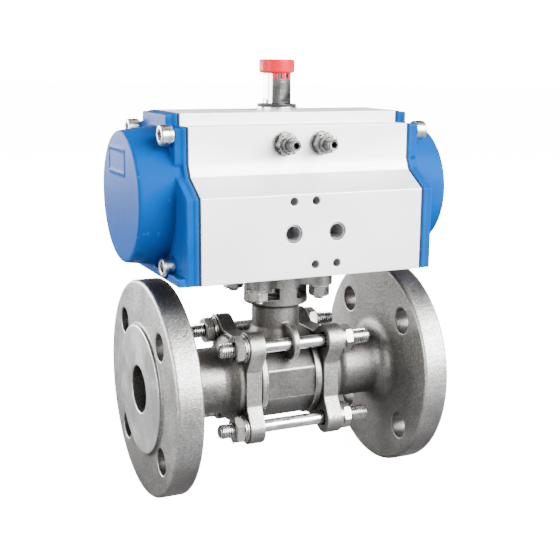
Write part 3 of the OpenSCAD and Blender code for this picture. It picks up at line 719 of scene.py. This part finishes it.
# (height over the seat, depth of the grooves), both in mm
KNURL = ((0.5, 0.0), (0.8, 0.16), (4.9, 0.16), (5.3, 0.0))
for name, side in (("left", -1), ("right", 1)):
    node = f"cap_screws_{name}"
    low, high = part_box(node)
    seat = (high.x if side > 0 else -low.x) - HEAD_HEIGHT
    tail = (low.x if side > 0 else -high.x)
    bm = bmesh.new()
    n = KNURL_COUNT
    places = [(y, z) for y in (low.y + HEAD_R, high.y - HEAD_R)
              for z in (low.z + HEAD_R, high.z - HEAD_R)]
    for k, (y, z) in enumerate(places):
        place = along((side, 0, 0), (0, y, z), 0.35 * k)
        knurl = []
        for height, depth in KNURL:
            loop = []
            for i in range(n):
                radius = (5.0 - depth * (1 if i % 2 else 0)) * MM
                angle = TAU * i / n
                loop.append((radius * math.cos(angle), radius * math.sin(angle),
                             seat + height * MM))
            knurl.append(loop)
        loops = [circle_loop(2.5 * MM, tail, n), circle_loop(3 * MM, tail + 0.5 * MM, n),
                 circle_loop(3 * MM, seat, n), circle_loop(4.8 * MM, seat, n)]
        loops += knurl
        loops += [circle_loop(4.8 * MM, seat + 5.85 * MM, n),
                  circle_loop(4.6 * MM, seat + HEAD_HEIGHT, n),
                  circle_loop(3.05 * MM, seat + HEAD_HEIGHT, n),
                  hex_loop(5 * MM, seat + 5.8 * MM, n), hex_loop(5 * MM, seat + 3.1 * MM, n)]
        loft(bm, loops, place)
    mesh = finish_bmesh(bm, node + "_knurled")
    obj = piece(node + "_knurled", mesh, [node], [SCREW])
    smooth_by_angle(obj, 40)

# ---------------------------------------------------------------- actuator
ports = [(-12, 85.7, 4.6), (12, 85.7, 4.6), (-12, 101.7, 2.1), (0, 101.7, 2.1),
         (0, 69.7, 2.1), (12, 69.7, 2.1)]
bm = bevelled(welded("actuator_body"), 0.45 * MM, 3)
front_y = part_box("actuator_body")[0].y
for x, z, r in ports[:2]:
    place = along((0, -1, 0), (x * MM, 0, z * MM))
    deep = -front_y - 11 * MM
    helical_thread(bm, place, deep, -front_y - 0.9 * MM, (r - 0.02) * MM, (r - 0.5) * MM, 1 * MM)
mesh = to_mesh(bm, "actuator_body_rounded")
shade(mesh)
# Faces inside the ports take the painted shade
for face in mesh.polygons:
    spot = face.center
    if spot.y > front_y + 0.7 * MM and spot.y < front_y + 13 * MM and any(
            math.hypot(spot.x - x * MM, spot.z - z * MM) < (r + 0.1) * MM for x, z, r in ports):
        face.material_index = 1
obj = piece("actuator_body_rounded", mesh, ["actuator_body"], [BODY, HOLE_SHADE])
even = obj.modifiers.new("even_normals", "WEIGHTED_NORMAL")
even.keep_sharp = False

FRAME_Y, FRAME_Z = 4 * MM, 119.5 * MM


def rectangle(half_w, half_h, z):
    return [(sx * half_w, sy * half_h, z) for sx, sy in ((-1, -1), (1, -1), (1, 1), (-1, 1))]


for name, side in (("left", -1), ("right", 1)):
    node = f"end_cap_{name}"
    mesh = cast_mesh([node], 0.45 * MM, 4, node + "_coated")
    low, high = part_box(node)
    outer = high.x if side > 0 else -low.x
    bm = bmesh.new()
    bm.from_mesh(mesh)
    place = Matrix(((0, 0, side, 0), (side, 0, 0, FRAME_Y), (0, 1, 0, FRAME_Z), (0, 0, 0, 1)))
    base = outer - 0.75 * MM
    loft(bm, [rectangle(13.95 * MM, 6.45 * MM, base),
              rectangle(13.95 * MM, 6.45 * MM, outer - 0.15 * MM),
              rectangle(13.8 * MM, 6.3 * MM, outer), rectangle(13.15 * MM, 5.65 * MM, outer),
              rectangle(13.0 * MM, 5.5 * MM, outer - 0.15 * MM),
              rectangle(13.0 * MM, 5.5 * MM, base)], place, (False, False))
    bm.to_mesh(mesh)
    bm.free()
    shade(mesh)
    obj = piece(node + "_coated", mesh, [node], [BLUE])

rounded("pinion", 0.3 * MM)
rounded("indicator_cap", 0.35 * MM, segments=3)
rounded("indicator_screw", 0.2 * MM)
for node in ("cap_gasket_left", "cap_gasket_right"):
    rounded(node, 0.12 * MM, GASKET)

for name, obj in NODES.items():
    for slot in obj.material_slots:
        slot.material = FINISH[SLOT_OF[name]]

# ---------------------------------------------------------------- floor, light, camera
FLOOR_Z = cad_box[0].z
# Brightness of the floor and the background as the camera sees them
SEEN_FLOOR, SEEN_SKY = 15.0, 20.0


def pale_floor():
    """Pale to the camera, and mid grey in reflections so that metal keeps its contrast."""
    s = Surface("pale_floor", Roughness=0.75)
    s.set("Base Color", s.ramp(s.noise(3, 3), (0.3, (0.90, 0.90, 0.90)), (0.7, (0.93, 0.93, 0.93))))
    s.set("Specular IOR Level", 0.1)
    s.set("Emission Color", (1, 1, 1))
    s.set("Emission Strength", SEEN_FLOOR)
    grey = s.tree.nodes.new("ShaderNodeBsdfDiffuse")
    grey.inputs["Color"].default_value = (0.22, 0.22, 0.23, 1)
    join = s.tree.nodes.new("ShaderNodeMixShader")
    path = s.tree.nodes.new("ShaderNodeLightPath")
    s.tree.links.new(path.outputs["Is Camera Ray"], join.inputs["Fac"])
    s.tree.links.new(grey.outputs["BSDF"], join.inputs[1])
    s.tree.links.new(s.bsdf.outputs["BSDF"], join.inputs[2])
    out = s.tree.nodes["Material Output"]
    s.tree.links.new(join.outputs["Shader"], out.inputs["Surface"])
    return s.material


bm = bmesh.new()
bmesh.ops.create_circle(bm, cap_ends=True, segments=96, radius=9)
mesh = to_mesh(bm, "floor")
mesh.materials.append(pale_floor())
floor = bpy.data.objects.new("floor", mesh)
floor.location.z = FLOOR_Z
bpy.context.scene.collection.objects.link(floor)


def softbox(name, where, target, width, height, radiance):
    """Area light with a given radiance, aimed at target."""
    data = bpy.data.lights.new(name, "AREA")
    data.shape = "RECTANGLE"
    data.size, data.size_y = width, height
    data.energy = radiance * math.pi * width * height
    lamp = bpy.data.objects.new(name, data)
    lamp.location = where
    aim = Vector(target) - Vector(where)
    lamp.rotation_mode = "QUATERNION"
    lamp.rotation_quaternion = aim.to_track_quat("-Z", "Y")
    bpy.context.scene.collection.objects.link(lamp)
    return lamp


CENTRE = (0, 0, 0.05)
softbox("front_right_box", (0.95, -1.45, 0.92), CENTRE, 1.9, 1.3, 28.0)
softbox("left_box", (-1.5, -0.25, 0.40), CENTRE, 1.0, 1.1, 11.0)
softbox("back_left_box", (-0.95, 1.3, 0.40), CENTRE, 1.3, 1.1, 15.5)
softbox("top_box", (0.0, 0.2, 1.5), CENTRE, 1.0, 0.5, 2.0)

world = bpy.data.worlds.new("studio")
bpy.context.scene.world = world
world.use_nodes = True
tree = world.node_tree
tree.nodes.clear()
out = tree.nodes.new("ShaderNodeOutputWorld")
light = tree.nodes.new("ShaderNodeBackground")
seen = tree.nodes.new("ShaderNodeBackground")
join = tree.nodes.new("ShaderNodeMixShader")
path = tree.nodes.new("ShaderNodeLightPath")
coords = tree.nodes.new("ShaderNodeTexCoord")
split = tree.nodes.new("ShaderNodeSeparateXYZ")
ramp = tree.nodes.new("ShaderNodeValToRGB")
tree.links.new(coords.outputs["Generated"], split.inputs["Vector"])
tree.links.new(split.outputs["Z"], ramp.inputs["Fac"])
stops = ramp.color_ramp.elements
stops[0].position, stops[0].color = 0.0, (1, 1, 1, 1)
stops[1].position, stops[1].color = 0.8, (0.12, 0.125, 0.13, 1)
middle = stops.new(0.35)
middle.color = (0.85, 0.86, 0.88, 1)
tree.links.new(ramp.outputs["Color"], light.inputs["Color"])
light.inputs["Strength"].default_value = 0.5
seen.inputs["Color"].default_value = (1, 1, 1, 1)
seen.inputs["Strength"].default_value = SEEN_SKY
tree.links.new(path.outputs["Is Camera Ray"], join.inputs["Fac"])
tree.links.new(light.outputs["Background"], join.inputs[1])
tree.links.new(seen.outputs["Background"], join.inputs[2])
tree.links.new(join.outputs["Shader"], out.inputs["Surface"])

# The photograph's viewing angle
AZIMUTH, ELEVATION, ROLL = -0.4415700, 0.2240405, 0.0110283
DISTANCE, AIM = 0.5787410, Vector((0.0124384, 0, 0.0418438))
FOCAL_PX, SHIFT_PX, SIDE_PX = 1049.1476, (15.99476, 16.62804), 560
back = Vector((math.sin(AZIMUTH) * math.cos(ELEVATION),
               -math.cos(AZIMUTH) * math.cos(ELEVATION), math.sin(ELEVATION)))
eye = AIM + back * DISTANCE
right = (-back).cross(Vector((0, 0, 1))).normalized()
up = right.cross(-back)
across = right * math.cos(ROLL) + up * math.sin(ROLL)
above = up * math.cos(ROLL) - right * math.sin(ROLL)
data = bpy.data.cameras.new("camera")
data.sensor_width = 36
data.lens = 36 * FOCAL_PX / SIDE_PX
data.shift_x, data.shift_y = -SHIFT_PX[0] / SIDE_PX, SHIFT_PX[1] / SIDE_PX
data.clip_start = 0.01
camera = bpy.data.objects.new("camera", data)
camera.matrix_world = Matrix(((across.x, above.x, back.x, eye.x),
                              (across.y, above.y, back.y, eye.y),
                              (across.z, above.z, back.z, eye.z), (0, 0, 0, 1)))
bpy.context.scene.collection.objects.link(camera)
bpy.context.scene.camera = camera
